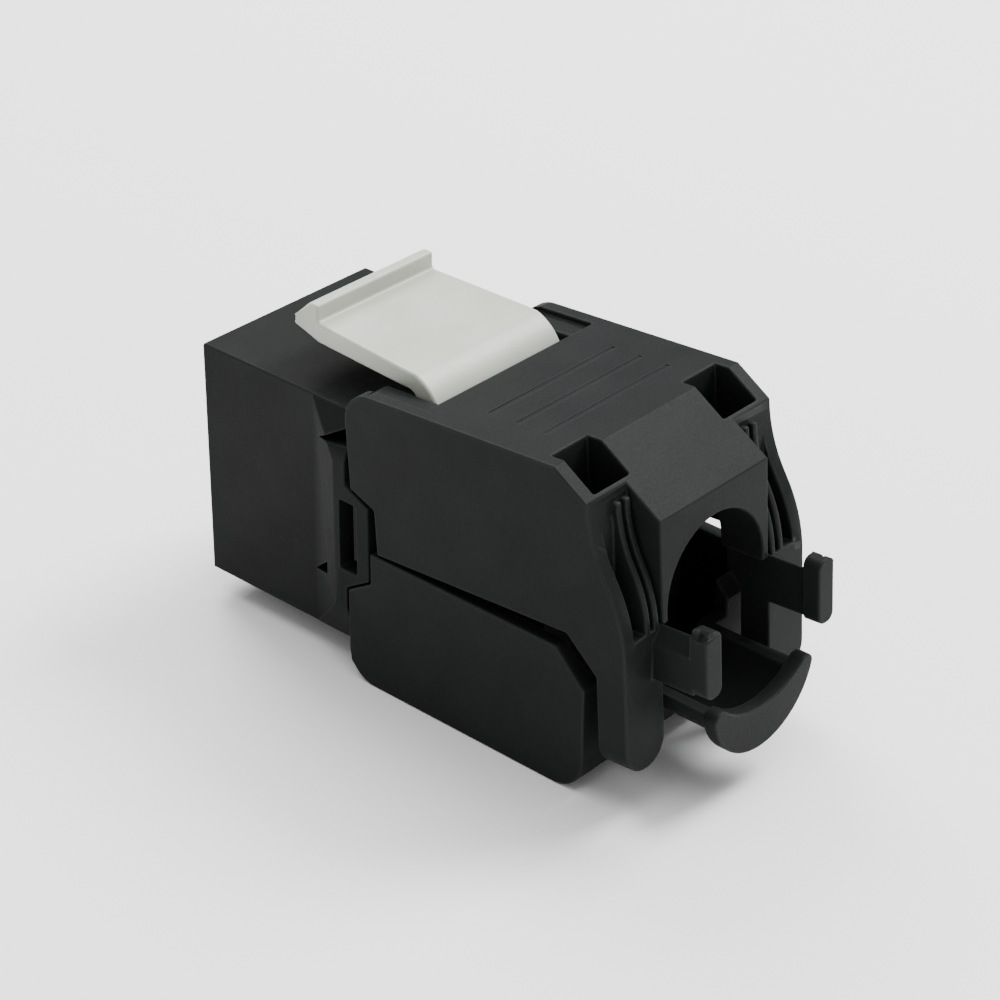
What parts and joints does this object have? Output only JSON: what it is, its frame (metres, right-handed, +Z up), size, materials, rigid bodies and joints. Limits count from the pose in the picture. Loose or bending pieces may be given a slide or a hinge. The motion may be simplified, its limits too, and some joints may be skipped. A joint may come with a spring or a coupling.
{
  "type": "keystone jack",
  "caption": "Black unshielded keystone jack with two hinged wiring covers, a light grey sprung latch, a cable trough and two tie hooks.",
  "frame": {"origin": "centre of the plug face, on the middle plane of the front housing", "axes": "+Y from the plug face back to the cable, +Z up towards the latch, +X across"},
  "size_m": [0.0168, 0.0394, 0.0226],
  "materials": {
    "body_plastic": "fine satin moulding",
    "latch_plastic": "satin",
    "insert_plastic": "satin",
    "board": "lacquered",
    "contact_gold": "gold plated",
    "contact_metal": "tin plated"
  },
  "bodies": {
    "jack_body": {"front_housing": "body_plastic", "contact_carrier": "insert_plastic", "plug_contact_1": "contact_gold", "plug_contact_2": "contact_gold", "plug_contact_3": "contact_gold", "plug_contact_4": "contact_gold", "plug_contact_5": "contact_gold", "plug_contact_6": "contact_gold", "plug_contact_7": "contact_gold", "plug_contact_8": "contact_gold", "circuit_board": "board", "terminal_block_upper": "insert_plastic", "terminal_block_lower": "insert_plastic", "wire_terminal_upper_1": "contact_metal", "wire_terminal_upper_2": "contact_metal", "wire_terminal_upper_3": "contact_metal", "wire_terminal_upper_4": "contact_metal", "wire_terminal_lower_1": "contact_metal", "wire_terminal_lower_2": "contact_metal", "wire_terminal_lower_3": "contact_metal", "wire_terminal_lower_4": "contact_metal"},
    "latch": {"release_latch": "latch_plastic"},
    "upper_lid": {"upper_cover": "body_plastic", "upper_wire_comb": "insert_plastic"},
    "lower_lid": {"lower_cover": "body_plastic", "lower_wire_comb": "insert_plastic"}
  },
  "joints": [
    {"name": "latch_flex", "type": "hinge", "parent": "jack_body", "child": "latch", "pos_m": [0, 0.0173, 0.0072], "axis": [1, 0, 0], "range_deg": [0, 9], "stiffness_Nm_per_rad": 0.4},
    {"name": "upper_cover_hinge", "type": "hinge", "parent": "jack_body", "child": "upper_lid", "pos_m": [0, 0.0155, 0.00835], "axis": [1, 0, 0], "range_deg": [-4, 75]},
    {"name": "lower_cover_hinge", "type": "hinge", "parent": "jack_body", "child": "lower_lid", "pos_m": [0, 0.0155, -0.00785], "axis": [-1, 0, 0], "range_deg": [0, 75]}
  ]
}
